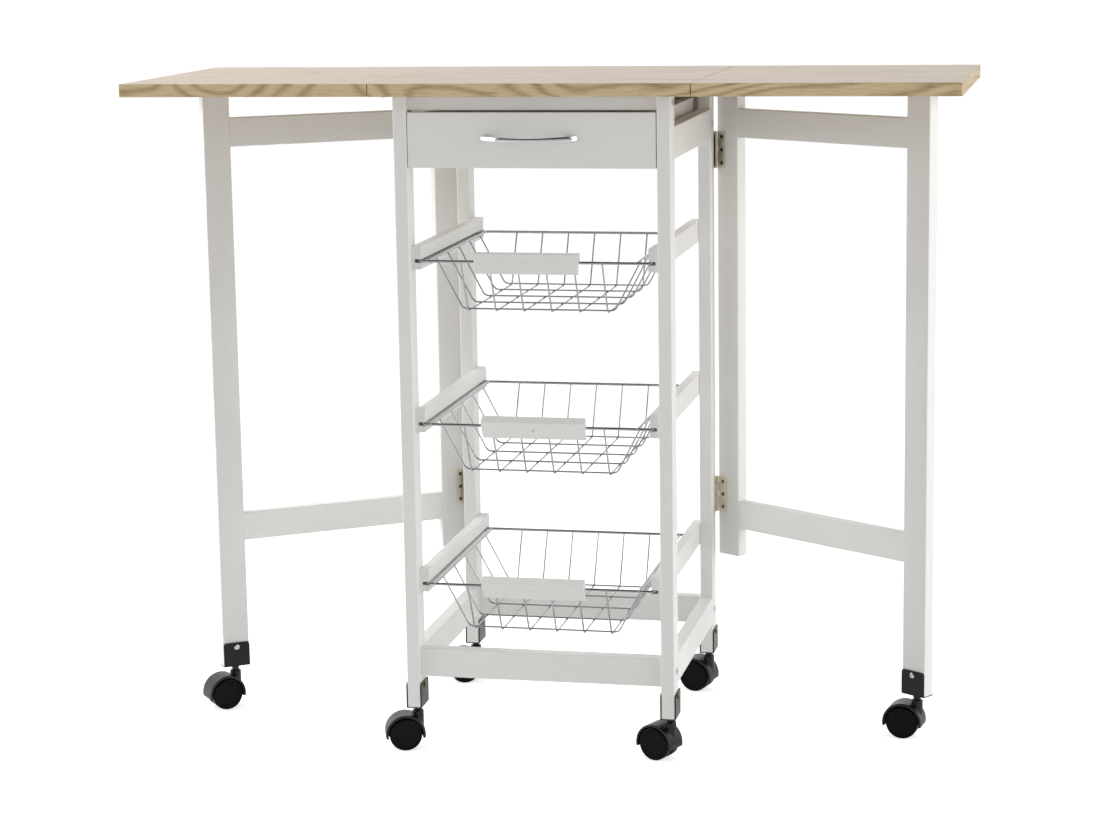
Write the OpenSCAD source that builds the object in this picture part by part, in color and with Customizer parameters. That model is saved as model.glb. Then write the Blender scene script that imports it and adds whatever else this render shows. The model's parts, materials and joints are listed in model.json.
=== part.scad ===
// Folding service trolley: a narrow post frame on casters with a drawer and three
// wire baskets, a fixed centre top, and a drop leaf on each side that a hinged
// gate leg holds up. Millimetres, +Z up, front (drawer side) towards -Y, origin
// on the floor below the middle of the top.

/* [Table top] */
// Height of the top surface above the floor
table_h = 850; // [800:5:900]
// Width of the fixed centre top, left to right
centre_w = 398; // [396:1:430]
// Depth of the centre top and both leaves
top_d = 366; // [360:1:400]
// Width of each drop leaf
leaf_w = 320; // [300:1:360]
// Thickness of the boards of the top
board_t = 16; // [12:0.5:20]
// Gap at each seam between the centre top and a leaf
seam_gap = 1; // [0.9:0.1:1.6]

/* [Frame] */
// Width of the frame over its posts
frame_w = 345; // [320:1:347]
// Depth of the frame over its posts
frame_d = 343; // [330:1:350]
// How far the front posts stand back from the front edge of the top
front_setback = 16.5; // [12:0.5:20]
// Thickness of a post, left to right
post_t = 17; // [14:0.5:20]
// Depth of a post, front to back
post_d = 30; // [26:0.5:34]
// Height of the rails round the foot of the frame
rail_h = 37; // [30:1:42]
// Height of the underside of the foot rails above the floor
rail_z = 98; // [94:1:120]
// Height of the side aprons
apron_h = 40; // [30:1:50]
// How far the side aprons lie below the underside of the top
apron_drop = 39; // [30:1:45]
// Height of the front rail above the drawer
top_rail_h = 18; // [14:0.5:22]
// Rounding of the long edges of the painted bars
arris_r = 1.5; // [0.8:0.1:2.5]

/* [Drawer] */
// Height of the drawer front
drawer_front_h = 68; // [60:0.5:80]
// Thickness of the drawer front
drawer_front_t = 15; // [12:0.5:18]
// Thickness of the sides and back of the drawer box
drawer_side_t = 12; // [9:0.5:14]
// Thickness of the drawer bottom panel
drawer_bottom_t = 3; // [2.5:0.5:5]
// Gap all round the drawer front
drawer_gap = 2; // [1:0.25:3]
// Overall length of the drawer's bow handle
bow_l = 120; // [110:1:140]
// How far the bow handle stands out from the drawer front
bow_reach = 22; // [19:0.5:28]
// Height of the bow handle at its two ends
bow_end_h = 8; // [7.5:0.25:12]
// Height of the bow handle at its waist
bow_waist_h = 3.6; // [3:0.1:6]

/* [Baskets] */
// Height of the lowest pair of basket runners, at their middle
runner_low_z = 223; // [215:0.5:235]
// Distance from one basket level to the next
runner_pitch = 205.5; // [190:0.5:215]
// Height of a basket runner
runner_h = 29; // [20:1:32]
// Thickness of a basket runner
runner_t = 13; // [12:0.5:15]
// Thickness of the heavy wire round the rim of a basket
rim_wire = 3.75; // [3.25:0.25:5]
// Thickness of the thin wires of a basket
mesh_wire = 2.2; // [1.8:0.1:3.2]
// Depth of the rim of a basket, front to back, between wire middles
rim_d = 314; // [300:1:320]
// Height from the rim down to the bottom wires
basket_h = 64.5; // [50:0.5:80]
// Width of the flat bottom of a basket
basket_floor_w = 194; // [170:1:210]
// Depth of the flat bottom of a basket
basket_floor_d = 244; // [220:1:252]
// Number of wires that cross a basket from side to side
cross_wires = 5; // [3:1:7]
// Number of wires that run from front to back under them
long_wires = 6; // [4:1:8]
// Length of the grip on the front of a basket
grip_l = 131; // [110:1:140]
// Height of the grip
grip_h = 26; // [22:0.5:30]

/* [Gates] */
// Length of a gate from the edge of its stile to the edge of its leg
gate_l = 355; // [345:1:358]
// Width of a gate's stile and leg
stile_w = 36; // [30:1:40]
// Thickness of a gate's stile and leg
stile_t = 17; // [14:0.5:18]
// Height of the two rails of a gate
gate_rail_h = 38; // [30:1:42]
// How far a gate's upper rail lies below the underside of the top
gate_rail_drop = 39; // [34:1:50]
// Height of the underside of a gate's lower rail above the floor
gate_rail_z = 229.5; // [215:0.5:260]
// Height of the foot of a gate's short stile above the floor
stile_z = 191; // [160:1:205]
// How far the right gate stands open in the modelled position
open_right = 56; // [30:1:80]
// How far the left gate stands open in the modelled position
open_left = 55; // [30:1:80]
// Gap between the top of a gate and the underside of its leaf
gate_gap = 0.3; // [0.2:0.1:1]

/* [Hinges] */
// Length of a gate hinge
hinge_l = 49; // [40:1:60]
// Width of one leaf of a gate hinge
hinge_leaf_w = 15; // [12:0.5:18]
// Thickness of the sheet of a hinge
hinge_t = 1.4; // [1:0.1:1.6]
// Diameter of a hinge pin
hinge_pin_d = 2.4; // [1.8:0.1:2.8]
// Height of the middle of the upper gate hinge above the floor
hinge_high_z = 740; // [700:1:760]
// Height of the middle of the lower gate hinge above the floor
hinge_low_z = 274; // [240:1:300]
// Length of a leaf hinge under the top
flap_l = 40; // [30:1:60]
// Width of one plate of a leaf hinge
flap_w = 20; // [16:1:22]
// Distance of each leaf hinge from the middle of the seam
flap_y = 92; // [85:1:125]

/* [Casters] */
// Height of a caster from the floor to its bracket
caster_h = 57; // [55:0.5:64]
// Radius of a caster wheel
wheel_r = 21; // [18:0.5:21.5]
// Width over both wheels of a caster
caster_w = 30; // [28:0.5:34]
// Distance from the swivel axis to the axle
trail = 17; // [14:0.5:18]
// Width of a caster bracket
bracket_w = 36; // [32:0.5:40]
// Height of a caster bracket
bracket_h = 33; // [26:1:35]
// Thickness of the sheet of a caster bracket
bracket_t = 1.5; // [1.2:0.1:2]
// Direction that the front left caster trails in, in plan
trail_front_left = 199; // [0:1:360]
// Direction that the front right caster trails in
trail_front_right = 157; // [0:1:360]
// Direction that the rear left caster trails in
trail_rear_left = 200; // [0:1:360]
// Direction that the rear right caster trails in
trail_rear_right = 165; // [0:1:360]
// Direction that the left gate's caster trails in
trail_gate_left = 220; // [0:1:360]
// Direction that the right gate's caster trails in
trail_gate_right = 171; // [0:1:360]

/* [Hidden] */
$fn = 48;

// Clearances
seat = 0.2;          // between a piece and what it rests on
run_gap = 0.05;      // round a pin that turns in a bore, on the radius
groove_gap = 0.3;    // above and below a basket rim in its groove
knuckle_gap = 0.2;   // between neighbouring knuckles of a hinge

// Table top
under_z = table_h - board_t;
seam_x = centre_w / 2 + seam_gap / 2;
board_r = 1;

// Frame
post_x = frame_w / 2 - post_t / 2;
inner_x = frame_w / 2 - post_t;
front_y = -top_d / 2 + front_setback;
rear_y = front_y + frame_d;
front_post_y = front_y + post_d / 2;
rear_post_y = rear_y - post_d / 2;
post_z = caster_h + bracket_t;
side_rail_l = frame_d - 2 * post_d;
rail_t = post_t;
apron_z = under_z - apron_drop - apron_h;

// Connector bolts through the posts into the ends of the cross rails
bolt_r = 3;
bolt_hole_r = 3.2;
bolt_head_r = 4.5;
bolt_head_t = 1.2;
bolt_l = 48;
bolt_key_r = 2;
top_bolt_z = under_z - top_rail_h / 2;
low_bolt_z = rail_z + rail_h / 2;
back_bolt_z = apron_z + apron_h / 2;

// Drawer
drawer_top_z = under_z - top_rail_h - drawer_gap;
drawer_z = drawer_top_z - drawer_front_h;
drawer_w = 2 * inner_x - drawer_gap;
drawer_face_y = front_y + 1;
drawer_back_y = rear_post_y - rail_t / 2 - 3;
strip_h = 14;
strip_z = drawer_z + 1;
box_z = strip_z + strip_h + seat;
box_top_z = drawer_top_z - 3;
box_side_x = inner_x - 6;
box_front_y = drawer_face_y + drawer_front_t;
box_d = drawer_back_y - box_front_y;
panel_z = box_z + 5;
panel_groove = 6;
panel_slack = 0.1;
bow_x = -3;          // the handle sits a little left of the middle
bow_z = drawer_z + drawer_front_h / 2 + 2;
bow_t = 3.5;
bow_foot_x = bow_l / 2 - 12;
bow_foot_r = 3.7;
bow_foot_d = 5;
bow_r = (bow_l * bow_l / 4 + bow_reach * bow_reach) / (2 * bow_reach);
bow_dip = (bow_end_h - bow_waist_h) / 2;
bow_outline = [for (x = [-bow_l / 2 - 1 : 2 : bow_l / 2 + 1])
    [x, bow_waist_h / 2 + bow_dip * pow(2 * x / bow_l, 2)]];

// Baskets
levels = [for (i = [0 : 2]) runner_low_z + i * runner_pitch];
groove_drop = 4;     // of a groove's middle below the middle of its runner
rim_z = [for (z = levels) z - groove_drop];
groove_h = rim_wire + 2 * groove_gap;
groove_d = runner_t - 4;
runner_front_y = front_y + 8.5;
runner_l = rear_y - 6 - runner_front_y;
rim_x = inner_x - runner_t + groove_d - rim_wire / 2 - 0.75;
rim_corner_r = 9;
rim_stop = 5;
second_inset = 18;   // of the second wires from the sides of the rim
second_over = 3;     // how far they run past the rim in front and behind
second_x = rim_x - second_inset;
second_wire = mesh_wire + 0.4;
mesh_x = -4;         // the wires within the rim are welded a little left of its middle
cross_pitch = 58;
cross_bend_r = 9;
long_x = basket_floor_w / 2 - 8;
weld = 0.4;
bend_lap = 0.5;      // how far a straight wire runs into its bend
bend_swell = 0.1;    // how much thicker the wire is drawn in its bends
grip_d = 14;
grip_wall = 5.5;
grip_back = -rim_wire / 2 - 0.1;
grip_drop = 1.5;     // of a grip's middle below the rim wire
grip_tilt = [28, 28, 0];
grip_x = [-7, -3.5, -9];

// Gates: u runs along a gate from its pin, v from its inner face outwards
pin_off = 2.3;
knuckle_r = 2.1;
stile_u = 0.4;
leg_u = stile_u + gate_l - stile_w;
pin_x = frame_w / 2 + pin_off;
pin_y = rear_y + stile_u;
gate_top_z = under_z - gate_gap;
gate_rail_t = stile_t - 2;
leaf_pin_z = under_z - 3;
leaf_knuckle_r = 2.8;

// Screws: radius of the head, radius of the shank, length below the head's top
hinge_screw = [2.6, 1.3, 11];
grip_screw = [2.6, 1.3, 5.4];
pan_screw = [3.7, 1.75];
bracket_screw_l = 9;
handle_screw_l = 19.5;
screw_gap = 0.08;

// Angles that hold the centre top down on the frame
angle_w = 16;
angle_l = 16;
angle_t = 1.6;
angle_x = 100;

// Casters
cheek_inset = 3;     // of the outer cheek of a gate's bracket from the edges of the leg
web_t = 4;
wheel_gap = 0.5;
hood_in_r = wheel_r + 1.3;
hood_r = hood_in_r + 3.2;
hood_skirt = 5;
boss_r = 7.3;
boss_z = caster_h - 5;
collar_r = 5;
stem_r = 4;
stem_head_r = 5.2;
stem_head_t = 2.5;
axle_r = 2.5;
post_stem_y = bracket_w / 2;

paint = "#eeeeec";
oak = "#cdb48c";
chrome = "#c9ccd0";
nickel = "#9c9684";
zinc = "#b9bcbf";
nylon = "#1d1d1f";

// ---- Shared shapes ----

// A rectangle with round corners
module round_rect(w, d, r) {
    square([w - 2 * r, d], center = true);
    square([w, d - 2 * r], center = true);
    for (x = [-1, 1], y = [-1, 1])
        translate([x * (w / 2 - r), y * (d / 2 - r)]) circle(r);
}

// A bar whose long edges, along one axis, are eased; its low corner is at the origin
module bar(size, along, r = arris_r) {
    if (along == "z")
        translate([size.x / 2, size.y / 2, 0])
            linear_extrude(size.z) round_rect(size.x, size.y, r);
    if (along == "x")
        translate([0, size.y / 2, size.z / 2]) rotate([90, 0, 90])
            linear_extrude(size.x) round_rect(size.y, size.z, r);
    if (along == "y")
        translate([size.x / 2, size.y, size.z / 2]) rotate([90, 0, 0])
            linear_extrude(size.y) round_rect(size.x, size.z, r);
}

// A round rod between two points
module rod(a, b, d) {
    v = b - a;
    l = norm(v);
    translate(a) rotate([0, acos(v.z / l), atan2(v.y, v.x)]) cylinder(h = l, d = d);
}

// Mirrors its children to the left side where side is -1
module on_side(side) {
    if (side > 0) children();
    else mirror([1, 0, 0]) children();
}

// A cylinder along X that starts at a point
module x_cylinder(at, l, r) {
    translate(at) rotate([0, 90, 0]) cylinder(h = l, r = r);
}

// A countersunk screw that points down, the top of its head at the origin
module flat_screw(s) {
    head = s[0] - s[1];
    difference() {
        union() {
            translate([0, 0, -head]) cylinder(h = head, r1 = s[1], r2 = s[0]);
            translate([0, 0, -s[2]]) cylinder(h = s[2] - head + 0.1, r = s[1]);
        }
        cross_recess(s[0] - 0.8);
    }
}

// The hole that a countersunk screw needs
module flat_screw_hole(s) {
    head = s[0] - s[1];
    translate([0, 0, -head]) cylinder(h = head + 0.2, r1 = s[1] + screw_gap, r2 = s[0] + screw_gap + 0.2);
    translate([0, 0, -s[2] - 0.3]) cylinder(h = s[2] + 0.3, r = s[1] + screw_gap);
}

// A pan head screw that points down, with its head above the origin
module pan_head_screw(l) {
    difference() {
        union() {
            cylinder(h = 1.3, r = pan_screw[0]);
            translate([0, 0, 1.3]) cylinder(h = 0.7, r1 = pan_screw[0], r2 = pan_screw[0] - 1);
            translate([0, 0, -l]) cylinder(h = l + 0.5, r = pan_screw[1]);
        }
        translate([0, 0, 2]) cross_recess(pan_screw[0] - 1.2);
    }
}

module pan_screw_hole(l) {
    translate([0, 0, -l - 0.3]) cylinder(h = l + 1, r = pan_screw[1] + screw_gap);
}

module cross_recess(half) {
    for (a = [0, 90]) rotate([0, 0, a])
        translate([-half, -0.35, -0.8]) cube([2 * half, 0.7, 2]);
}

// ---- Table top ----

module top_board(x, w) {
    translate([x, -top_d / 2, under_z]) bar([w, top_d, board_t], "z", board_r);
}

module centre_top() {
    color(oak) difference() {
        top_board(-centre_w / 2, centre_w);
        for (side = [-1, 1]) on_side(side) flap_screws_at(-1) flat_screw_hole(hinge_screw);
        angles_at() top_angle_holes();
    }
}

module leaf(side) {
    color(oak) on_side(side) difference() {
        top_board(centre_w / 2 + seam_gap, leaf_w);
        flap_screws_at(1) flat_screw_hole(hinge_screw);
    }
}

// The screws of the right seam's hinges, pointing up; dir says which plates they hold
module flap_screws_at(dir) {
    for (y = [-flap_y, flap_y], spot = [[8, -13], [8, 13], [15, 0]])
        translate([seam_x + dir * spot[0], y + spot[1], under_z - hinge_t])
            rotate([180, 0, 0]) children();
}

// One plate of a leaf hinge with the knuckles that belong to it; it lies against the
// underside of a board and reaches from the seam in the direction dir
module flap_plate(dir, parts, bored) {
    plate_z = under_z - hinge_t;
    step = flap_l / 5;
    difference() {
        union() {
            translate([dir > 0 ? 0 : -flap_w, -flap_l / 2, plate_z])
                cube([flap_w, flap_l, hinge_t]);
            for (i = parts)
                translate([0, -flap_l / 2 + i * step + knuckle_gap / 2, leaf_pin_z])
                    rotate([-90, 0, 0]) cylinder(h = step - knuckle_gap, r = leaf_knuckle_r);
        }
        // room for the knuckles of the other plate
        for (i = [0 : 4])
            if (len([for (p = parts) if (p == i) p]) == 0)
                translate([-leaf_knuckle_r - 0.3, -flap_l / 2 + i * step - knuckle_gap / 2, under_z - 7])
                    cube([2 * leaf_knuckle_r + 0.6, step + knuckle_gap, 8]);
        // the other board's side of the seam stays free
        translate([dir > 0 ? -10 : 0.3, -flap_l / 2 - 1, plate_z - 0.01])
            cube([9.7, flap_l + 2, 2]);
        if (bored)
            translate([0, -flap_l / 2 - 1, leaf_pin_z])
                rotate([-90, 0, 0]) cylinder(h = flap_l + 2, r = hinge_pin_d / 2 + run_gap);
    }
}

// The fixed plates under the centre top, with their pins and screws
module leaf_hinge_plates() {
    color(nickel) for (side = [-1, 1]) on_side(side) {
        difference() {
            for (y = [-flap_y, flap_y]) translate([seam_x, y, 0]) {
                flap_plate(-1, [0, 2, 4], false);
                translate([0, -flap_l / 2, leaf_pin_z]) rotate([-90, 0, 0])
                    cylinder(h = flap_l, d = hinge_pin_d);
            }
            flap_screws_at(-1) flat_screw_hole(hinge_screw);
        }
        flap_screws_at(-1) flat_screw(hinge_screw);
    }
}

module leaf_hinge_flaps(side) {
    color(nickel) on_side(side) {
        difference() {
            for (y = [-flap_y, flap_y]) translate([seam_x, y, 0]) flap_plate(1, [1, 3], true);
            flap_screws_at(1) flat_screw_hole(hinge_screw);
        }
        flap_screws_at(1) flat_screw(hinge_screw);
    }
}

// ---- Frame ----

module post(side, rear) {
    y = rear ? rear_y - post_d : front_y;
    stem_y = y + post_stem_y;
    bolts = rear ? [low_bolt_z, back_bolt_z] : [low_bolt_z, top_bolt_z];
    color(paint) on_side(side) difference() {
        translate([inner_x, y, post_z]) bar([post_t, post_d, under_z - post_z], "z");
        for (z = bolts) x_cylinder([inner_x - 1, y + post_d / 2, z], post_t + 2, bolt_hole_r);
        translate([post_x, stem_y, post_z - 1]) cylinder(h = stem_head_t + 2, r = stem_head_r + 0.5);
        bracket_at(y) bracket_screws_at(post_t) pan_screw_hole(bracket_screw_l);
        if (rear) post_hinges_at() hinge_screws_at() flat_screw_hole(hinge_screw);
    }
}

// A rail from the left posts to the right ones, bolted through them at one height
module cross_rail(y, z, h, bolt_z) {
    color(paint) difference() {
        translate([-inner_x, y - rail_t / 2, z]) bar([2 * inner_x, rail_t, h], "x");
        for (side = [-1, 1])
            on_side(side) x_cylinder([inner_x - bolt_l + post_t - 2, y, bolt_z], bolt_l, bolt_hole_r);
        angles_at() top_angle_holes();
    }
}

module top_rail_front() {
    cross_rail(front_post_y, under_z - top_rail_h, top_rail_h, top_bolt_z);
}

module apron_back() {
    cross_rail(rear_post_y, apron_z, under_z - apron_z, back_bolt_z);
}

module foot_rails() {
    for (y = [front_post_y, rear_post_y]) cross_rail(y, rail_z, rail_h, low_bolt_z);
    side_boards(rail_z, rail_h);
}

// Boards between the front and rear posts of each side, flush with their outer faces
module side_boards(z, h) {
    color(paint) for (side = [-1, 1]) on_side(side)
        translate([inner_x, front_y + post_d, z]) bar([rail_t, side_rail_l, h], "y");
}

// The angles sit in the corner between the centre top and the front rail or back apron;
// in their frame the corner is at the origin, with the wood at -Y and the top at +Z
module angles_at() {
    for (x = [-angle_x, angle_x]) {
        translate([x, front_post_y + rail_t / 2, under_z]) children();
        translate([x, rear_post_y - rail_t / 2, under_z]) rotate([0, 0, 180]) children();
    }
}

module top_angle_holes() {
    top_angle_spots() flat_screw_hole(hinge_screw);
}

module top_angle_spots() {
    translate([0, angle_l - 6, -angle_t]) rotate([180, 0, 0]) children();
    translate([0, angle_t, -angle_l + 6]) rotate([-90, 0, 0]) children();
}

module top_angles() {
    color(zinc) angles_at() difference() {
        union() {
            translate([-angle_w / 2, 0, -angle_t]) cube([angle_w, angle_l, angle_t]);
            translate([-angle_w / 2, 0, -angle_l]) cube([angle_w, angle_t, angle_l]);
        }
        top_angle_holes();
    }
}

// The screws of the angles and of the caster brackets on the posts
module frame_screws() {
    color(zinc) {
        angles_at() top_angle_spots() flat_screw(hinge_screw);
        at_posts() bracket_screws_at(post_t) pan_head_screw(bracket_screw_l);
    }
}

module frame_bolts() {
    color(zinc)
        for (side = [-1, 1], b = [[front_post_y, low_bolt_z], [front_post_y, top_bolt_z],
                                  [rear_post_y, low_bolt_z], [rear_post_y, back_bolt_z]])
            on_side(side) difference() {
                union() {
                    x_cylinder([frame_w / 2, b[0], b[1]], bolt_head_t, bolt_head_r);
                    x_cylinder([frame_w / 2 - bolt_l + 3, b[0], b[1]], bolt_l - 3, bolt_r);
                }
                translate([frame_w / 2 - 1.5, b[0], b[1]]) rotate([0, 90, 0])
                    cylinder(h = 5, r = bolt_key_r, $fn = 6);
            }
}

// Grooved runners that carry the rims of the three baskets
module basket_runners() {
    color(paint) for (side = [-1, 1], z = levels) on_side(side) difference() {
        translate([inner_x - runner_t, runner_front_y, z - runner_h / 2])
            bar([runner_t, runner_l, runner_h], "y");
        translate([inner_x - runner_t - 1, runner_front_y - 1, z - groove_drop - groove_h / 2])
            cube([groove_d + 1, rim_d / 2 + rim_wire / 2 + rim_stop - runner_front_y + 1, groove_h]);
    }
}

// Strips inside the aprons that the drawer box slides on
module drawer_strips() {
    color(paint) for (side = [-1, 1]) on_side(side)
        translate([inner_x - runner_t, box_front_y + 1, strip_z])
            bar([runner_t, rear_post_y - rail_t / 2 - box_front_y - 1, strip_h], "y");
}

// ---- Drawer ----

// The slab that the drawer bottom panel and its grooves share
module drawer_panel(slack) {
    reach = panel_groove - (slack > 0 ? 0 : panel_slack);
    x = box_side_x - drawer_side_t + reach;
    translate([-x, box_front_y - reach, panel_z - slack])
        cube([2 * x, box_d - drawer_side_t + 2 * reach, drawer_bottom_t + 2 * slack]);
}

module drawer_front() {
    color(paint) difference() {
        translate([-drawer_w / 2, drawer_face_y, drawer_z])
            bar([drawer_w, drawer_front_t, drawer_front_h], "x", 1);
        drawer_panel(panel_slack);
        handle_screws_at() pan_screw_hole(handle_screw_l);
    }
}

module drawer_sides() {
    color(paint) for (side = [-1, 1]) on_side(side) difference() {
        translate([box_side_x - drawer_side_t, box_front_y, box_z])
            bar([drawer_side_t, box_d, box_top_z - box_z], "y", 1);
        drawer_panel(panel_slack);
    }
}

module drawer_back() {
    x = box_side_x - drawer_side_t;
    color(paint) difference() {
        translate([-x, drawer_back_y - drawer_side_t, box_z])
            bar([2 * x, drawer_side_t, box_top_z - box_z], "x", 1);
        drawer_panel(panel_slack);
    }
}

module drawer_bottom() {
    color(paint) drawer_panel(0);
}

// A bow handle: a curved flat bar that narrows to a waist, on two short feet
module drawer_handle() {
    color(chrome) translate([bow_x, drawer_face_y, bow_z]) difference() {
        union() {
            intersection() {
                translate([0, bow_r - bow_reach, -bow_end_h]) difference() {
                    cylinder(h = 2 * bow_end_h, r = bow_r, $fn = 240);
                    translate([0, 0, -1]) cylinder(h = 2 * bow_end_h + 2, r = bow_r - bow_t, $fn = 240);
                }
                rotate([90, 0, 0]) linear_extrude(bow_reach + 1)
                    polygon(concat(bow_outline, [for (p = bow_outline) -p]));
            }
            for (x = [-bow_foot_x, bow_foot_x]) translate([x, 0, 0])
                rotate([90, 0, 0]) cylinder(h = bow_foot_d + 1.5, r = bow_foot_r);
        }
        translate([-bow_x, -drawer_face_y, -bow_z]) handle_screws_at() pan_screw_hole(handle_screw_l);
    }
}

// The handle's screws, put in from inside the drawer box
module handle_screws_at() {
    for (x = [-bow_foot_x, bow_foot_x]) translate([bow_x + x, box_front_y, bow_z])
        rotate([-90, 0, 0]) children();
}

module drawer_handle_screws() {
    color(zinc) handle_screws_at() pan_head_screw(handle_screw_l);
}

// ---- Baskets ----

// A wire in the XZ plane, bent down on both sides from x = +-top at z = 0 to a flat floor
// of the half width floor_half at depth h, with bends of radius r
module bent_wire(top, floor_half, h, r, d) {
    slope = atan2(h, top - floor_half);
    // length of a bend's tangent, from the sharp corner to the start of the bend
    tan_l = r * tan(slope / 2);
    bend_x = floor_half - tan_l;
    up = [cos(slope), 0, sin(slope)];
    rod([-bend_x - bend_lap, 0, -h], [bend_x + bend_lap, 0, -h], d);
    for (side = [0, 1]) mirror([side, 0, 0]) {
        translate([bend_x, 0, -h + r]) rotate([90, 0, 0]) rotate([0, 0, -90])
            rotate_extrude(angle = slope) translate([r, 0]) circle(d = d + bend_swell);
        rod([floor_half, 0, -h] + (tan_l - bend_lap) * up, [top, 0, 0], d);
    }
}

// The closed ring of heavy wire
module rim_ring() {
    x = rim_x;
    y = rim_d / 2;
    r = rim_corner_r;
    for (side = [-1, 1]) {
        rod([side * x, -y + r, 0], [side * x, y - r, 0], rim_wire);
        rod([-x + r, side * y, 0], [x - r, side * y, 0], rim_wire);
    }
    for (sx = [0, 1], sy = [0, 1]) mirror([sx, 0, 0]) mirror([0, sy, 0])
        translate([x - r, y - r, 0])
            rotate_extrude(angle = 90) translate([r, 0]) circle(d = rim_wire);
}

// The wires within the rim: one along each side, the cross wires, and the long wires under them
module basket_mesh() {
    second_y = rim_d / 2 + second_over;
    long_h = basket_h + mesh_wire - weld;
    for (x = [-second_x, second_x]) rod([x, -second_y, 0], [x, second_y, 0], second_wire);
    for (k = [0 : cross_wires - 1])
        translate([0, (k - (cross_wires - 1) / 2) * cross_pitch, 0])
            bent_wire(second_x, basket_floor_w / 2, basket_h, cross_bend_r, mesh_wire);
    for (k = [0 : long_wires - 1])
        translate([-long_x + 2 * long_x * k / (long_wires - 1), 0, 0]) rotate([0, 0, 90])
            bent_wire(rim_d / 2, basket_floor_d / 2, long_h, cross_bend_r, mesh_wire);
}

module basket(i) {
    color(chrome) translate([0, 0, rim_z[i]]) {
        rim_ring();
        translate([mesh_x, 0, 0]) basket_mesh();
    }
}

// Puts its children in the frame of a grip: the front rim wire along X at the origin
module at_grip(i) {
    translate([grip_x[i], -rim_d / 2, rim_z[i]]) rotate([grip_tilt[i], 0, 0]) children();
}

// A grip bar that sits over the front rim wire: full depth above the wire, a front wall below
module basket_grip(i) {
    color(paint) at_grip(i) difference() {
        translate([-grip_l / 2, grip_back - grip_wall, -grip_h / 2 - grip_drop])
            bar([grip_l, grip_d, grip_h], "x", 2);
        translate([-grip_l / 2 - 1, grip_back, -grip_h])
            cube([grip_l + 2, grip_d, grip_h]);
        x_cylinder([-grip_l / 2 - 1, 0, 0], grip_l + 2, rim_wire / 2 + 0.1);
        grip_screw_at() flat_screw_hole(grip_screw);
    }
}

module grip_screw_at() {
    translate([0, grip_back - grip_wall, 0]) rotate([90, 0, 0]) children();
}

// The screw that clamps the grip on the rim wire
module basket_grip_screw(i) {
    color(zinc) at_grip(i) grip_screw_at() flat_screw(grip_screw);
}

// ---- Gates ----

// Puts its children, drawn along u from the pin, on a gate at its open angle
module on_gate(side) {
    open = side > 0 ? open_right : open_left;
    on_side(side) translate([pin_x, pin_y, 0]) rotate([0, 0, open - 90]) children();
}

module gate_stile(side) {
    color(paint) on_gate(side) difference() {
        translate([stile_u, pin_off, stile_z]) bar([stile_w, stile_t, gate_top_z - stile_z], "z");
        gate_hinges_at() hinge_screws_at() flat_screw_hole(hinge_screw);
    }
}

module gate_leg(side) {
    color(paint) on_gate(side) difference() {
        translate([leg_u, pin_off, post_z]) bar([stile_w, stile_t, gate_top_z - post_z], "z");
        translate([leg_u + stile_w / 2, pin_off + stile_t / 2, post_z - 1])
            cylinder(h = stem_head_t + 2, r = stem_head_r + 0.5);
        gate_bracket_at() bracket_screws_at(stile_t) pan_screw_hole(bracket_screw_l);
    }
}

module gate_rails(side) {
    u = stile_u + stile_w;
    v = pin_off + (stile_t - gate_rail_t) / 2;
    color(paint) on_gate(side) for (z = [gate_rail_z, under_z - gate_rail_drop - gate_rail_h])
        translate([u, v, z]) bar([leg_u - u, gate_rail_t, gate_rail_h], "x");
}

// One leaf of a butt hinge: the sheet along +X from the pin, with its far face against the wood
module hinge_leaf(parts, bored) {
    step = hinge_l / 5;
    difference() {
        union() {
            translate([0.6, pin_off - hinge_t, -hinge_l / 2]) cube([hinge_leaf_w, hinge_t, hinge_l]);
            for (i = parts) translate([0, 0, -hinge_l / 2 + i * step + knuckle_gap / 2])
                cylinder(h = step - knuckle_gap, r = knuckle_r);
        }
        for (i = [0 : 4])
            if (len([for (p = parts) if (p == i) p]) == 0)
                translate([-3, -3, -hinge_l / 2 + i * step - knuckle_gap / 2])
                    cube([3 + knuckle_r + 0.3, 6, step + knuckle_gap]);
        if (bored)
            translate([0, 0, -hinge_l / 2 - 1])
                cylinder(h = hinge_l + 2, r = hinge_pin_d / 2 + run_gap);
    }
}

// The screws of one hinge leaf, pointing into the wood
module hinge_screws_at() {
    for (z = [-hinge_l / 2 + 7, 0, hinge_l / 2 - 7])
        translate([0.6 + hinge_leaf_w - 6, pin_off - hinge_t, z]) rotate([90, 0, 0]) children();
}

// Both hinges of the right gate, in the frame of their post leaves
module post_hinges_at() {
    for (z = [hinge_low_z, hinge_high_z])
        translate([pin_x, pin_y, z]) rotate([0, 0, -90]) mirror([0, 1, 0]) children();
}

module gate_hinges_at() {
    for (z = [hinge_low_z, hinge_high_z]) translate([0, 0, z]) children();
}

// The leaves on the posts, with the hinge pins and screws
module post_hinge_leaves() {
    color(nickel) for (side = [-1, 1]) on_side(side) post_hinges_at() {
        difference() {
            union() {
                hinge_leaf([0, 2, 4], false);
                translate([0, 0, -hinge_l / 2]) cylinder(h = hinge_l, d = hinge_pin_d);
            }
            hinge_screws_at() flat_screw_hole(hinge_screw);
        }
        hinge_screws_at() flat_screw(hinge_screw);
    }
}

module gate_hinge_leaves(side) {
    color(nickel) on_gate(side) gate_hinges_at() {
        difference() {
            hinge_leaf([1, 3], true);
            hinge_screws_at() flat_screw_hole(hinge_screw);
        }
        hinge_screws_at() flat_screw(hinge_screw);
    }
}

// ---- Casters and their brackets ----

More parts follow.
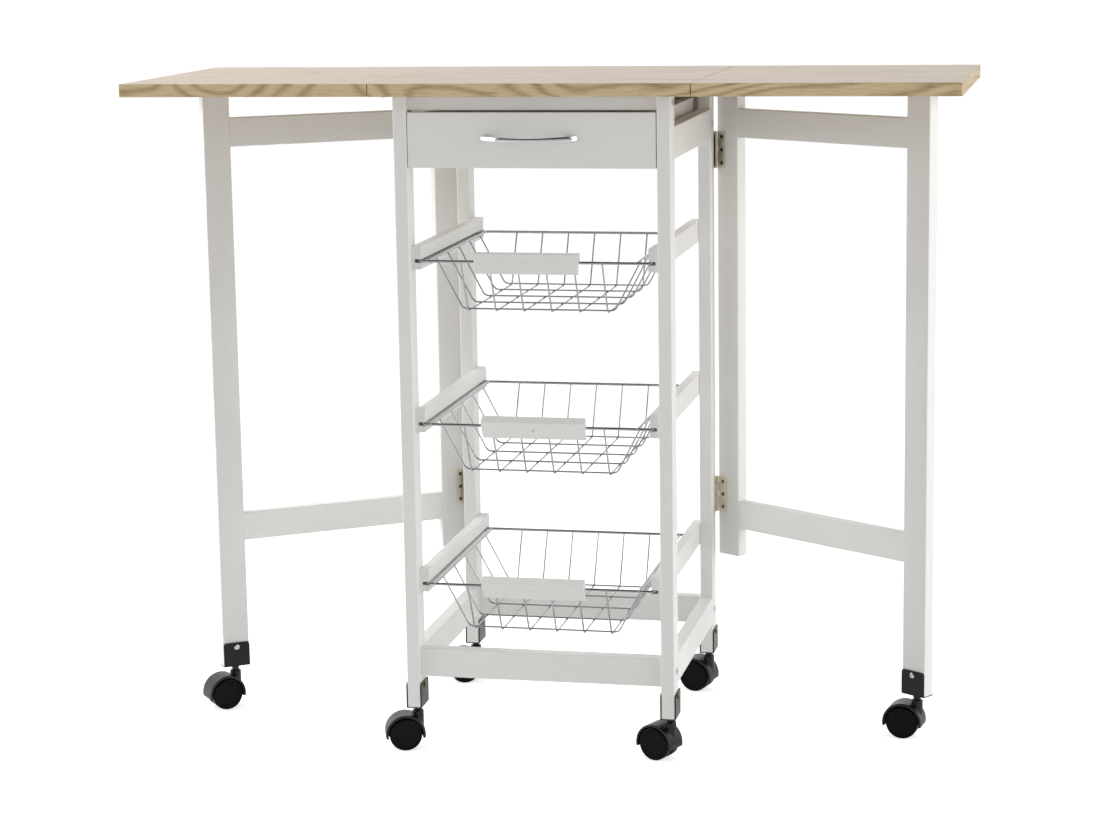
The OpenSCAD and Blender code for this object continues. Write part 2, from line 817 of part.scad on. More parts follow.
// Outline of a bracket cheek, round at the top, that stands in from both edges of the bracket
module cheek_outline(inset) {
    r = 4;
    w = bracket_w - 2 * inset;
    translate([inset, 0]) {
        square([w, bracket_h - r]);
        translate([r, 0]) square([w - 2 * r, bracket_h]);
        for (x = [r, w - r]) translate([x, bracket_h - r]) circle(r);
    }
}

// A sheet bracket folded up round the foot of a leg of thickness t; its width runs along
// +X from the origin and the leg lies between y = 0 and y = t; the first cheek may be narrower
module caster_bracket(t, inset = 0) {
    difference() {
        union() {
            translate([0, -bracket_t, caster_h]) cube([bracket_w, t + 2 * bracket_t, bracket_t]);
            for (cheek = [[0, inset], [t + bracket_t, 0]])
                translate([0, cheek[0], caster_h]) rotate([90, 0, 0])
                    linear_extrude(bracket_t) cheek_outline(cheek[1]);
        }
        translate([bracket_w / 2, t / 2, caster_h - 1]) cylinder(h = 4, r = stem_r + run_gap);
        bracket_screws_at(t) pan_screw_hole(bracket_screw_l);
    }
}

// The two screws of a bracket, one through each cheek into a leg of thickness t
module bracket_screws_at(t) {
    for (far = [false, true])
        translate([bracket_w / 2, far ? t + bracket_t : -bracket_t, caster_h + bracket_h - 6])
            rotate([far ? -90 : 90, 0, 0]) children();
}

// The right hand posts stand between the cheeks of their brackets, front edges in line
module bracket_at(y) {
    translate([inner_x + post_t, y, 0]) rotate([0, 0, 90]) children();
}

module at_posts() {
    for (side = [-1, 1], y = [front_y, rear_y - post_d]) on_side(side) bracket_at(y) children();
}

module post_caster_brackets() {
    color(nylon) at_posts() caster_bracket(post_t);
}

module gate_bracket_at() {
    translate([leg_u + stile_w / 2 + bracket_w / 2, pin_off + stile_t, 0])
        rotate([0, 0, 180]) children();
}

module gate_bracket(side) {
    color(nylon) on_gate(side) gate_bracket_at() caster_bracket(stile_t, cheek_inset);
}

module gate_bracket_screws(side) {
    color(zinc) on_gate(side) gate_bracket_at()
        bracket_screws_at(stile_t) pan_head_screw(bracket_screw_l);
}

// The housing of a twin wheel caster, swivel axis at the origin, trailing towards +X
module caster_housing() {
    axle = [trail, 0, wheel_r];
    reach = trail + hood_r + 1;
    color(nylon) {
        difference() {
            union() {
                translate(axle) rotate([90, 0, 0]) translate([0, 0, -caster_w / 2])
                    cylinder(h = caster_w, r = hood_r);
                cylinder(h = boss_z, r = boss_r);
            }
            // the wheels' room on both sides of the web
            for (s = [0, 1]) translate(axle) mirror([0, s, 0]) translate([0, web_t / 2, 0])
                rotate([-90, 0, 0]) cylinder(h = caster_w, r = hood_in_r);
            // below the edge of the hood only the wheels are left
            translate([-reach, -reach, -reach])
                cube([2 * reach, 2 * reach, reach + wheel_r - hood_skirt]);
        }
        translate(axle) rotate([90, 0, 0]) translate([0, 0, -caster_w / 2 + 2])
            cylinder(h = caster_w - 4, r = axle_r);
        translate([0, 0, boss_z - 1]) cylinder(h = caster_h - boss_z + 1 - seat, r = collar_r);
        caster_stem();
    }
}

// The riveted stem: through the bracket, with its head in the foot of the leg
module caster_stem() {
    translate([0, 0, boss_z]) cylinder(h = post_z - boss_z + seat + 0.1, r = stem_r);
    translate([0, 0, post_z + seat]) cylinder(h = stem_head_t - 0.5, r = stem_head_r);
}

// Both wheels of a caster: dished discs with a blind bore for the axle
module caster_wheels() {
    w = (caster_w - web_t) / 2 - wheel_gap;
    color(nylon) for (s = [0, 1]) translate([trail, 0, wheel_r]) mirror([0, s, 0])
        translate([0, web_t / 2 + wheel_gap, 0]) rotate([-90, 0, 0]) difference() {
            rotate_extrude() polygon([[0, 0], [wheel_r - 1.2, 0], [wheel_r, 1.2],
                [wheel_r, w - 2.2], [wheel_r - 0.6, w - 1], [wheel_r - 2, w - 0.4],
                [wheel_r - 3.5, w - 0.4], [wheel_r - 4.2, w - 1], [0, w - 1]]);
            translate([0, 0, -1]) cylinder(h = (caster_w - 4) / 2 - web_t / 2 - wheel_gap + 1.2,
                                           r = axle_r + run_gap);
        }
}

// Puts a caster under a post
module under_post(side, rear, dir) {
    y = (rear ? rear_y - post_d : front_y) + post_stem_y;
    translate([side * post_x, y, 0]) rotate([0, 0, dir]) children();
}

// Puts a caster under the leg of a gate; dir is a direction in plan
module under_gate(side, dir) {
    open = side > 0 ? open_right : open_left;
    u = leg_u + stile_w / 2;
    v = pin_off + stile_t / 2;
    a = open - 90;
    translate([side * (pin_x + u * cos(a) - v * sin(a)), pin_y + u * sin(a) + v * cos(a), 0])
        rotate([0, 0, dir]) children();
}

// ---- Nodes ----

centre_top();
leaf(-1);  // leaf_left
leaf(1);  // leaf_right
leaf_hinge_plates();
leaf_hinge_flaps(-1);  // leaf_hinge_flaps_left
leaf_hinge_flaps(1);  // leaf_hinge_flaps_right
post(-1, false);  // post_front_left
post(1, false);  // post_front_right
post(-1, true);  // post_rear_left
post(1, true);  // post_rear_right
side_boards(apron_z, apron_h);  // side_aprons
top_rail_front();
apron_back();
foot_rails();
basket_runners();
drawer_strips();
top_angles();
frame_bolts();
frame_screws();
post_hinge_leaves();
post_caster_brackets();
drawer_front();
drawer_sides();
drawer_back();
drawer_bottom();
drawer_handle();
drawer_handle_screws();
basket(0);  // basket_low
basket_grip(0);  // basket_low_grip
basket_grip_screw(0);  // basket_low_grip_screw
basket(1);  // basket_middle
basket_grip(1);  // basket_middle_grip
basket_grip_screw(1);  // basket_middle_grip_screw
basket(2);  // basket_high
basket_grip(2);  // basket_high_grip
basket_grip_screw(2);  // basket_high_grip_screw
gate_stile(-1);  // gate_left_stile
gate_leg(-1);  // gate_left_leg
gate_rails(-1);  // gate_left_rails
gate_hinge_leaves(-1);  // gate_left_hinge_leaves
gate_bracket(-1);  // gate_left_bracket
gate_bracket_screws(-1);  // gate_left_bracket_screws
gate_stile(1);  // gate_right_stile
gate_leg(1);  // gate_right_leg
gate_rails(1);  // gate_right_rails
gate_hinge_leaves(1);  // gate_right_hinge_leaves
gate_bracket(1);  // gate_right_bracket
gate_bracket_screws(1);  // gate_right_bracket_screws
under_post(-1, false, trail_front_left) caster_housing();  // caster_front_left
under_post(-1, false, trail_front_left) caster_wheels();  // wheels_front_left
under_post(1, false, trail_front_right) caster_housing();  // caster_front_right
under_post(1, false, trail_front_right) caster_wheels();  // wheels_front_right
under_post(-1, true, trail_rear_left) caster_housing();  // caster_rear_left
under_post(-1, true, trail_rear_left) caster_wheels();  // wheels_rear_left
under_post(1, true, trail_rear_right) caster_housing();  // caster_rear_right
under_post(1, true, trail_rear_right) caster_wheels();  // wheels_rear_right
under_gate(-1, trail_gate_left) caster_housing();  // caster_gate_left
under_gate(-1, trail_gate_left) caster_wheels();  // wheels_gate_left
under_gate(1, trail_gate_right) caster_housing();  // caster_gate_right
under_gate(1, trail_gate_right) caster_wheels();  // wheels_gate_right
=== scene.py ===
"""A folding service trolley: oak laminate boards on a white painted post frame, with a drawer,
three wire baskets, two gate legs and six twin wheel casters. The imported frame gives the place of
every piece, in metres, with +Z up and the drawer side towards -Y."""

import json
import math

import bmesh
import bpy
from mathutils import Matrix, Vector

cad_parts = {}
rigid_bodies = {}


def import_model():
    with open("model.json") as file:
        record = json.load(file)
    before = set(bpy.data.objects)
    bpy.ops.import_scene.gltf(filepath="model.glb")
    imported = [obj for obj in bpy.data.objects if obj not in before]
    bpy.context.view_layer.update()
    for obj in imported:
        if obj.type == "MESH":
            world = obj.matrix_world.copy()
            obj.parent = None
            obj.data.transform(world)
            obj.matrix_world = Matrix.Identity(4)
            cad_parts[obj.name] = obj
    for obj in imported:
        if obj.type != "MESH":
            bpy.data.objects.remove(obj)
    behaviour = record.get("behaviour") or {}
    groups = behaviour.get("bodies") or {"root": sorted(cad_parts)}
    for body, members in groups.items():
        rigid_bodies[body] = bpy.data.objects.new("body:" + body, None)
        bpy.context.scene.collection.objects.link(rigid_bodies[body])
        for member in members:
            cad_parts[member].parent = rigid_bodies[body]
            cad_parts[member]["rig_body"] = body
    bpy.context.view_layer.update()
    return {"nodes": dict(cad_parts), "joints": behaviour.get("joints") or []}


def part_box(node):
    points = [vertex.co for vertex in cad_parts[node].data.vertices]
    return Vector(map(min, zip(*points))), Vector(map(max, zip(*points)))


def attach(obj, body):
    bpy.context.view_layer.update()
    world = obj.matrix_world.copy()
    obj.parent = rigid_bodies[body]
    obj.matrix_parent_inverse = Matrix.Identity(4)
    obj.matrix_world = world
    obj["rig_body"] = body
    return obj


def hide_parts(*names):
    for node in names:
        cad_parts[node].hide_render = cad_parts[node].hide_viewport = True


bl_info = {
    "name": "Folding service trolley",
    "version": (1, 0, 0),
    "blender": (4, 5, 0),
    "location": "3D View > Sidebar > Trolley",
    "description": "Dresses the packed frame of a folding service trolley with finished pieces",
    "category": "Object",
}

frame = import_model()
MM = 0.001
SIDES = ("left", "right")
LEVELS = ("low", "middle", "high")
POSTS = ("front_left", "front_right", "rear_left", "rear_right")
LEGS = (*POSTS, "gate_left", "gate_right")
JOINTS = {joint["name"]: joint for joint in frame["joints"]}


def linear(hex_colour):
    """An sRGB hex value as the linear red, green and blue that Blender works in."""
    parts = [int(hex_colour[i : i + 2], 16) / 255 for i in (0, 2, 4)]
    return tuple(c / 12.92 if c <= 0.04045 else ((c + 0.055) / 1.055) ** 2.4 for c in parts)


# ---------------------------------------------------------------- what a user may change


def colour(name, description, hex_colour):
    """A colour property whose default is an sRGB hex value."""
    return bpy.props.FloatVectorProperty(
        name=name,
        description=description,
        default=linear(hex_colour),
        size=3,
        min=0,
        max=1,
        subtype="COLOR",
    )


def length(name, description, millimetres):
    """A length property whose default is given in millimetres."""
    return bpy.props.FloatProperty(
        name=name,
        description=description,
        default=millimetres * MM,
        min=0,
        subtype="DISTANCE",
        unit="LENGTH",
    )


def amount(name, description, default, least=0, **kind):
    """A plain number property."""
    return bpy.props.FloatProperty(
        name=name, description=description, default=default, min=least, **kind
    )


class TrolleyFinishes(bpy.types.PropertyGroup):
    """The colours of the trolley's finishes."""

    oak_light: colour("Oak light", "Early wood in the printed oak of the boards", "C2AD92")
    oak_dark: colour("Oak dark", "Late wood and pores in the printed oak", "96795A")
    band_light: colour("Band light", "Early wood in the print of the edge bands", "DCC69C")
    band_dark: colour("Band dark", "Late wood in the print of the edge bands", "86683F")
    paint: colour("Paint", "Satin white paint on the timber", "EDECE9")
    chrome: colour("Chrome", "Plating of the baskets", "B9BBBE")
    polish: colour("Polish", "Plating of the bow handle", "E4E6E8")
    chromate: colour("Chromate", "Yellow passivated zinc of the bracket screws", "8E8A52")
    screw: colour("Hinge screw", "Steel of the hinge screws", "8A8074")
    nickel: colour("Nickel", "Dull plating of the hinges", "F2ECDE")
    zinc: colour("Zinc", "Bright plating of screws and angles", "DFE1E4")
    nylon: colour("Nylon", "Moulded black nylon of the casters", "0B0B0C")
    steel: colour("Black steel", "Powder coat of the caster brackets", "080809")
    hardboard: colour("Hardboard", "Coated panel under the drawer", "DAD6CE")


class TrolleySizes(bpy.types.PropertyGroup):
    """Small sizes of the modelled pieces."""

    timber_ease: length("Timber arris", "Rounding along the edges of the painted timber", 1.0)
    board_ease: length("Board arris", "Rounding along the edges of the boards", 0.8)
    grip_ease: length("Grip arris", "Rounding along the edges of the basket grips", 1.6)
    sheet_ease: length("Sheet arris", "Rounding along the edges of the brackets and hinges", 0.25)
    bend: length("Bracket bend", "Outer radius of the folds at the bottom of a caster bracket", 1.3)
    bow_thickness: length("Bow thickness", "Thickness of the handle's bar", 3.5)
    bow_waist: length("Bow waist", "Height of the handle's bar in the middle", 3.6)
    bow_foot_width: length("Bow foot width", "Diameter of the handle's two feet", 7.4)
    bow_foot_inset: length("Bow foot inset", "From an end of the bow to the middle of its foot", 12)
    caster_width: length("Caster width", "Width of the hood over both wheels", 30)
    tread: length("Wheel width", "Width of one wheel", 12.1)
    rim_round: length("Wheel rounding", "Rounding of a wheel's outer rim", 2.2)
    web: length("Caster web", "Thickness of the wall between the two wheels", 4)
    hood_wall: length("Hood wall", "Thickness of the hood over the wheels", 3.2)
    boss: length("Caster boss", "Diameter of the upright boss that holds the stem", 14.6)


class TrolleyStudio(bpy.types.PropertyGroup):
    """The camera and the light of the studio."""

    lens: amount("Lens", "Focal length on a 36 mm sensor", 87.7, least=10, unit="CAMERA")
    key: amount("Side lamps", "Power of each of the two side lamps", 56.0, unit="POWER")
    ambient: amount("Ambient", "Light from behind the trolley", 0.7, subtype="FACTOR")
    dim: amount("Dim side", "Light from the camera's side", 0.3, subtype="FACTOR")


# ---------------------------------------------------------------- materials

made_materials = {}
# The Mix node's sockets go by number: its share, its two numbers, its two colours, and the colour
# that comes out
SHARE, NUMBER_A, NUMBER_B, COLOUR_A, COLOUR_B, MIXED_COLOUR = 0, 2, 3, 6, 7, 2


def add(tree, kind, inputs=(), **settings):
    """One shader node: settings are its own properties, inputs its sockets with a value or with a
    socket to link from."""
    node = tree.nodes.new("ShaderNode" + kind)
    for name, value in settings.items():
        setattr(node, name, value)
    for name, value in dict(inputs).items():
        if isinstance(value, bpy.types.NodeSocket):
            tree.links.new(value, node.inputs[name])
        else:
            node.inputs[name].default_value = value
    return node


def start_material(name, **shader):
    """A new material with its Principled shader's own values set. Returns its tree, its shader and
    the place on the piece."""
    material = bpy.data.materials.new(name)
    material.use_nodes = True
    made_materials[name] = material
    tree = material.node_tree
    principled = tree.nodes["Principled BSDF"]
    for socket, value in shader.items():
        principled.inputs[socket.replace("_", " ")].default_value = value
    return tree, principled, add(tree, "TexCoord").outputs["Object"]


def feed(tree, principled, **outputs):
    """Links outputs to the sockets of a Principled shader."""
    for socket, output in outputs.items():
        tree.links.new(output, principled.inputs[socket.replace("_", " ")])


def rgba(colour_value, shade=1.0):
    """A colour as four channels, made lighter or darker by a factor."""
    return (*(min(1.0, c * shade) for c in colour_value), 1.0)


def oak_laminate(name, turn, light, dark, contrast, run, rings):
    """Melamine laminate with a printed oak: matt film, growth rings in long arcs, short dark pores
    along the grain. The eye gets broad pale bands first, then thin brown streaks, and a dull sheen
    without depth."""
    tree, principled, place = start_material(name, Roughness=0.3, IOR=1.5)
    way = (0, 0, math.radians(turn))
    turned = add(tree, "Mapping", {"Vector": place, "Rotation": way}).outputs["Vector"]
    # rings: level lines of a slow field; on a face they run 700 mm and lie 12 to 40 mm apart, on
    # an edge band 300 mm and 5 to 12 mm
    slow = add(tree, "Mapping", {"Vector": turned, "Scale": (run, 11.0, 11.0)})
    arcs = {"Scale": 1.0, "Detail": 2.0, "Roughness": 0.45, "Distortion": 0.25}
    field = add(tree, "TexNoise", {"Vector": slow.outputs["Vector"], **arcs})
    many = add(tree, "Math", {0: field.outputs["Fac"], 1: rings}, operation="MULTIPLY")
    ring = add(tree, "Math", {0: many.outputs[0], 1: 1.0}, operation="PINGPONG")
    late = add(tree, "MapRange", {"Value": ring.outputs[0], "From Min": 0.35, "To Max": 0.6})
    # pores: real ones are 0.3 mm wide; drawn 0.8 mm wide and 30 mm long so that they show
    fine = add(tree, "Mapping", {"Vector": turned, "Scale": (34.0, 1300.0, 1300.0)})
    streaks = {"Scale": 1.0, "Detail": 3.0, "Roughness": 0.6}
    speckle = add(tree, "TexNoise", {"Vector": fine.outputs["Vector"], **streaks})
    pores = add(
        tree, "MapRange", {"Value": speckle.outputs["Fac"], "From Min": 0.5, "From Max": 0.72}
    ).outputs[0]
    # tone: boards in the print differ slightly, in bands 60 to 120 mm wide
    wide = add(
        tree, "Mapping", {"Vector": turned, "Scale": (1.1, 9.0, 9.0), "Location": (3.1, 1.7, 0.4)}
    )
    bands = add(tree, "TexNoise", {"Vector": wide.outputs["Vector"], "Scale": 1.0, "Detail": 1.0})
    early = add(
        tree,
        "Mix",
        {SHARE: bands.outputs["Fac"], COLOUR_A: rgba(light, 0.93), COLOUR_B: rgba(light, 1.05)},
        data_type="RGBA",
    )
    both = add(tree, "Math", {0: pores, 1: 0.7, 2: late.outputs[0]}, operation="MULTIPLY_ADD")
    share = add(
        tree, "Math", {0: both.outputs[0], 1: contrast}, operation="MULTIPLY", use_clamp=True
    )
    printed = add(
        tree,
        "Mix",
        {SHARE: share.outputs[0], COLOUR_A: early.outputs[MIXED_COLOUR], COLOUR_B: rgba(dark)},
        data_type="RGBA",
    )
    sheen = add(tree, "MapRange", {"Value": pores, "To Min": 0.3, "To Max": 0.4})
    bump = add(tree, "Bump", {"Height": pores, "Strength": 0.25, "Distance": 0.1 * MM}, invert=True)
    feed(
        tree,
        principled,
        Base_Color=printed.outputs[MIXED_COLOUR],
        Roughness=sheen.outputs[0],
        Normal=bump.outputs["Normal"],
    )


def mottled(tree, principled, cloud, tint, tones, roughness=None, height=None, **bump):
    """Gives a shader a colour and a roughness that drift with a noise, and the bumps of its skin.
    tones and roughness each hold their value where the noise is low and where it is high."""
    low, high = (rgba(tint, tone) for tone in tones)
    tone = add(tree, "Mix", {SHARE: cloud, COLOUR_A: low, COLOUR_B: high}, data_type="RGBA")
    feed(tree, principled, Base_Color=tone.outputs[MIXED_COLOUR])
    if roughness:
        ends = {"To Min": roughness[0], "To Max": roughness[1]}
        rough = add(tree, "MapRange", {"Value": cloud, **ends})
        feed(tree, principled, Roughness=rough.outputs[0])
    skin = add(tree, "Bump", {"Height": cloud if height is None else height, **bump})
    feed(tree, principled, Normal=skin.outputs["Normal"])


def white_paint(name, stretch, paint):
    """Satin white paint, sprayed and lightly rubbed, on pine or on a screw head. The eye gets a
    soft sheen, a faint orange peel and, along the piece, the last trace of the grain under the
    film."""
    tree, principled, place = start_material(name, Roughness=0.4, IOR=1.48)
    along = add(tree, "Mapping", {"Vector": place, "Scale": stretch}).outputs["Vector"]
    grain = add(
        tree, "TexNoise", {"Vector": along, "Scale": 1.0, "Detail": 3.0, "Roughness": 0.55}
    ).outputs["Fac"]
    # orange peel: bumps about 1.6 mm across
    peel = add(tree, "TexNoise", {"Vector": place, "Scale": 620.0, "Detail": 1.0}).outputs["Fac"]
    film = add(tree, "Math", {0: peel, 1: 0.35, 2: grain}, operation="MULTIPLY_ADD").outputs[0]
    skin = {"Strength": 0.06, "Distance": 0.2 * MM}
    mottled(tree, principled, grain, paint, (0.985, 1.01), (0.34, 0.46), film, **skin)


def plated_metal(name, plate, roughness, patch_mm, strength):
    """Steel with a plated skin. The eye gets a mirror that clouds a little from place to place,
    where the bath left the plating thicker or the wire was drawn rougher."""
    tree, principled, place = start_material(name, Metallic=1.0)
    patches = {"Scale": 1000.0 / patch_mm, "Detail": 3.0, "Roughness": 0.6}
    cloud = add(tree, "TexNoise", {"Vector": place, **patches}).outputs["Fac"]
    skin = {"Strength": strength, "Distance": 0.05 * MM}
    mottled(tree, principled, cloud, plate, (0.86, 1.08), roughness, **skin)


def moulded_nylon(name, body_colour, gloss):
    """Glass filled nylon out of an eroded mould. The eye gets a deep black with a broad grey sheen
    broken up by a very fine, even grit."""
    tree, principled, place = start_material(
        name, Roughness=0.3, IOR=1.53, Specular_IOR_Level=gloss
    )
    # spark eroded grit: real grains are 0.1 mm, drawn 0.35 mm so that they show
    grit = add(tree, "TexNoise", {"Vector": place, "Scale": 2800.0, "Detail": 2.0}).outputs["Fac"]
    smudge = add(tree, "TexNoise", {"Vector": place, "Scale": 70.0, "Detail": 2.0}).outputs["Fac"]
    skin = {"Strength": 0.1, "Distance": 0.05 * MM}
    mottled(tree, principled, smudge, body_colour, (0.8, 1.35), (0.26, 0.38), grit, **skin)


def powder_coat(name, body_colour):
    """Bent sheet steel under black powder coat. The eye gets a satin black with a shallow pebble
    and slightly rubbed, shinier patches."""
    tree, principled, place = start_material(name, Roughness=0.3, IOR=1.5, Specular_IOR_Level=0.42)
    # pebble about 1.2 mm across
    pebble = add(tree, "TexNoise", {"Vector": place, "Scale": 830.0, "Detail": 1.5}).outputs["Fac"]
    rubbed = add(tree, "TexNoise", {"Vector": place, "Scale": 45.0, "Detail": 3.0}).outputs["Fac"]
    skin = {"Strength": 0.2, "Distance": 0.1 * MM}
    mottled(tree, principled, rubbed, body_colour, (0.8, 1.5), (0.36, 0.24), pebble, **skin)


def coated_hardboard(name, coat):
    """Hardboard with a thin pale coat. The eye gets a dull, slightly mottled panel with short
    pressed fibres."""
    tree, principled, place = start_material(name, Roughness=0.6, IOR=1.45)
    # fibres about 2 mm long
    pressed = {"Scale": 480.0, "Detail": 4.0, "Distortion": 1.2}
    fibre = add(tree, "TexNoise", {"Vector": place, **pressed}).outputs["Fac"]
    mottled(tree, principled, fibre, coat, (0.9, 1.05), Strength=0.2, Distance=0.2 * MM)


# how far the grain's noise is stretched: bands about 5 mm wide and 120 mm long, along the piece
GRAIN = {"upright": (210.0, 210.0, 8.0), "across": (8.0, 210.0, 210.0), "deep": (210.0, 8.0, 210.0)}


def make_materials(colours):
    """All finishes, once."""
    face = {"contrast": 0.66, "run": 1.5, "rings": 22}
    band = {"contrast": 0.85, "run": 3.0, "rings": 38}
    oak_laminate("oak laminate face", 0, colours.oak_light, colours.oak_dark, **face)
    oak_laminate("oak edge band long", 0, colours.band_light, colours.band_dark, **band)
    oak_laminate("oak edge band short", 90, colours.band_light, colours.band_dark, **band)
    for way, stretch in GRAIN.items():
        white_paint(f"white painted timber {way}", stretch, colours.paint)
    white_paint("white painted steel screw", (900, 900, 900), colours.paint)
    # each plate: its colour, its roughness low and high, the width of its clouds and its bumps
    plated_metal("bright chrome plate", colours.chrome, (0.1, 0.2), 9, 0.1)
    plated_metal("polished chrome plate", colours.polish, (0.05, 0.1), 14, 0.05)
    plated_metal("yellow chromated zinc plate", colours.chromate, (0.3, 0.42), 2, 0.2)
    plated_metal("browned steel screw", colours.screw, (0.32, 0.45), 2, 0.25)
    plated_metal("dull nickel plate", colours.nickel, (0.5, 0.7), 5, 0.25)
    plated_metal("bright zinc plate", colours.zinc, (0.2, 0.32), 3, 0.2)
    moulded_nylon("moulded black nylon hood", colours.nylon, 0.45)
    moulded_nylon("moulded black nylon wheel", colours.nylon, 0.12)
    powder_coat("black powder coated steel", colours.steel)
    coated_hardboard("white coated hardboard", colours.hardboard)


def dress(node_names, material_name):
    """Gives CAD nodes that stay in view a finish."""
    for name in node_names:
        mesh = frame["nodes"][name].data
        mesh.materials.clear()
        mesh.materials.append(made_materials[material_name])


# ---------------------------------------------------------------- modelling helpers

PARTS_OF_A_MESH = {"VERT": "verts", "EDGE": "edges", "FACE": "faces"}
SMOOTH_BELOW = 35  # degrees between two faces that are shaded as one
HAIR = 0.1 * MM  # how far from a plane a point still counts as on it


def deselect_all():
    """Object mode with nothing selected."""
    if bpy.context.mode != "OBJECT":
        bpy.ops.object.mode_set(mode="OBJECT")
    bpy.ops.object.select_all(action="DESELECT")


def take_up(piece):
    """Makes one object the active and only selected one."""
    deselect_all()
    piece.select_set(True)
    bpy.context.view_layer.objects.active = piece


def pick(mesh, kind, wanted):
    """Selects, in edit mode, the verts, edges or faces that wanted() accepts; returns how many."""
    bpy.ops.mesh.select_mode(type=kind)
    bpy.ops.mesh.select_all(action="DESELECT")
    shape = bmesh.from_edit_mesh(mesh)
    chosen = [part for part in getattr(shape, PARTS_OF_A_MESH[kind]) if wanted(part)]
    for part in chosen:
        part.select_set(True)
    if kind == "VERT":
        shape.select_flush(True)
    bmesh.update_edit_mesh(mesh)
    return len(chosen)


def finish_shading(piece, degrees=SMOOTH_BELOW):
    """Smooth shading across small angles, with flat faces kept flat."""
    take_up(piece)
    bpy.ops.object.shade_smooth_by_angle(angle=math.radians(degrees))
    weighted = piece.modifiers.new("flat faces", "WEIGHTED_NORMAL")
    weighted.keep_sharp = True
    bpy.ops.object.modifier_apply(modifier=weighted.name)


def settle(piece, node, *material_names):
    """Lets a finished piece ride with its CAD node's body and stand for that node."""
    piece.data.materials.clear()
    for name in material_names:
        piece.data.materials.append(made_materials[name])
    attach(piece, frame["nodes"][node]["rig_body"])
    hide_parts(node)


def whole_copy(node):
    """A copy of a CAD node's solids with doubles merged and flat faces made whole, in edit mode."""
    piece = bpy.data.objects.new(node + "_eased", frame["nodes"][node].data.copy())
    bpy.context.scene.collection.objects.link(piece)
    take_up(piece)
    bpy.ops.mesh.customdata_custom_splitnormals_clear()
    bpy.ops.object.mode_set(mode="EDIT")
    bpy.ops.mesh.select_all(action="SELECT")
    bpy.ops.mesh.remove_doubles(threshold=HAIR / 10)
    bpy.ops.mesh.dissolve_limited(angle_limit=math.radians(0.5))
    return piece


def outer(edge, shortest, sharper=40):
    """Whether an edge is a long outer one, sharper than the steps of a rounded face."""
    return (
        edge.is_manifold
        and edge.calc_face_angle_signed() > math.radians(sharper)
        and edge.calc_length() > shortest
    )


def round_edges(piece, width, wanted, segments=2):
    """Rounds, in edit mode, the edges that wanted() accepts."""
    if not pick(piece.data, "EDGE", wanted):
        raise RuntimeError(f"no edge to round on {piece.name}")
    bpy.ops.mesh.bevel(
        offset=width,
        offset_type="OFFSET",
        segments=segments,
        profile=0.55,
        affect="EDGES",
        clamp_overlap=False,
    )


def eased(node, width, shortest=6 * MM):
    """The solid of a CAD node as a clean mesh whose long outer edges are rounded, as a router or
    sandpaper leaves them. Round holes and short edges stay as they are."""
    piece = whole_copy(node)
    round_edges(piece, width, lambda edge: outer(edge, shortest))
    bpy.ops.object.mode_set(mode="OBJECT")
    finish_shading(piece)
    return piece


def painted(node, width, way):
    """Eased and painted timber that stands for a CAD node, with its grain along one way."""
    settle(eased(node, width), node, f"white painted timber {way}")


def small_parts(mesh, largest):
    """The faces of those loose parts of a mesh that are nowhere longer than a length."""
    shape = bmesh.new()
    shape.from_mesh(mesh)
    shape.faces.ensure_lookup_table()
    left = set(range(len(shape.faces)))
    small = set()
    while left:
        part = set()
        border = [shape.faces[left.pop()]]
        while border:
            face = border.pop()
            part.add(face.index)
            for vert in face.verts:
                for other in vert.link_faces:
                    if other.index in left:
                        left.remove(other.index)
                        border.append(other)
        places = [vert.co for index in part for vert in shape.faces[index].verts]
        spans = (max(values) - min(values) for values in zip(*places))
        if max(spans) < largest:
            small |= part
    shape.free()
    return small


def joined(*pieces):
    """Several objects joined into the first one."""
    deselect_all()
    for piece in pieces:
        piece.select_set(True)
    bpy.context.view_layer.objects.active = pieces[0]
    bpy.ops.object.join()
    return pieces[0]


def apply_modifier(piece, kind, **settings):
    """Adds one modifier with its settings and applies it."""
    take_up(piece)
    modifier = piece.modifiers.new(kind.lower(), kind)
    for name, value in settings.items():
        setattr(modifier, name, value)
    bpy.ops.object.modifier_apply(modifier=modifier.name)


# ---------------------------------------------------------------- the pieces

# The bow handle: rings along its bar, how far in radians the bar runs on behind the drawer's face
# before it is cut off there, how slowly it widens from its waist, the depth of a foot, and the
# width of a foot's neck as a share of the foot
BOW_STEPS, BOW_OVERRUN, BOW_FLARE, BOW_FOOT, BOW_NECK = 48, 0.04, 1.5, 6.5 * MM, 0.82
# The fittings: the shortest edge that is rounded on a hinge, the length that a hinge's screws stay
# under, and the shortest fold and the shortest edge that are rounded on a caster bracket
HINGE_EDGE, HINGE_SCREW, FOLD, BRACKET_EDGE = 10 * MM, 14 * MM, 25 * MM, 2.5 * MM
# The outer face of a wheel as insets from the rim inwards, each with its width and its step in
# millimetres: a flat ring, a fine groove, and the disc, a little dished towards the axle
WHEEL_FACE = ((0.9, 0), (0.25, -0.45), (0.3, 0), (0.25, 0.25), (5, -0.15), (5, -0.25))
# The riveted stem of a caster as radii and heights in millimetres: neck, flange and head
STEM = ((4.4, 48), (4.4, 52.6), (5, 53), (5, 56.2), (4.4, 56.9), (4, 56.9), (4, 60.4))


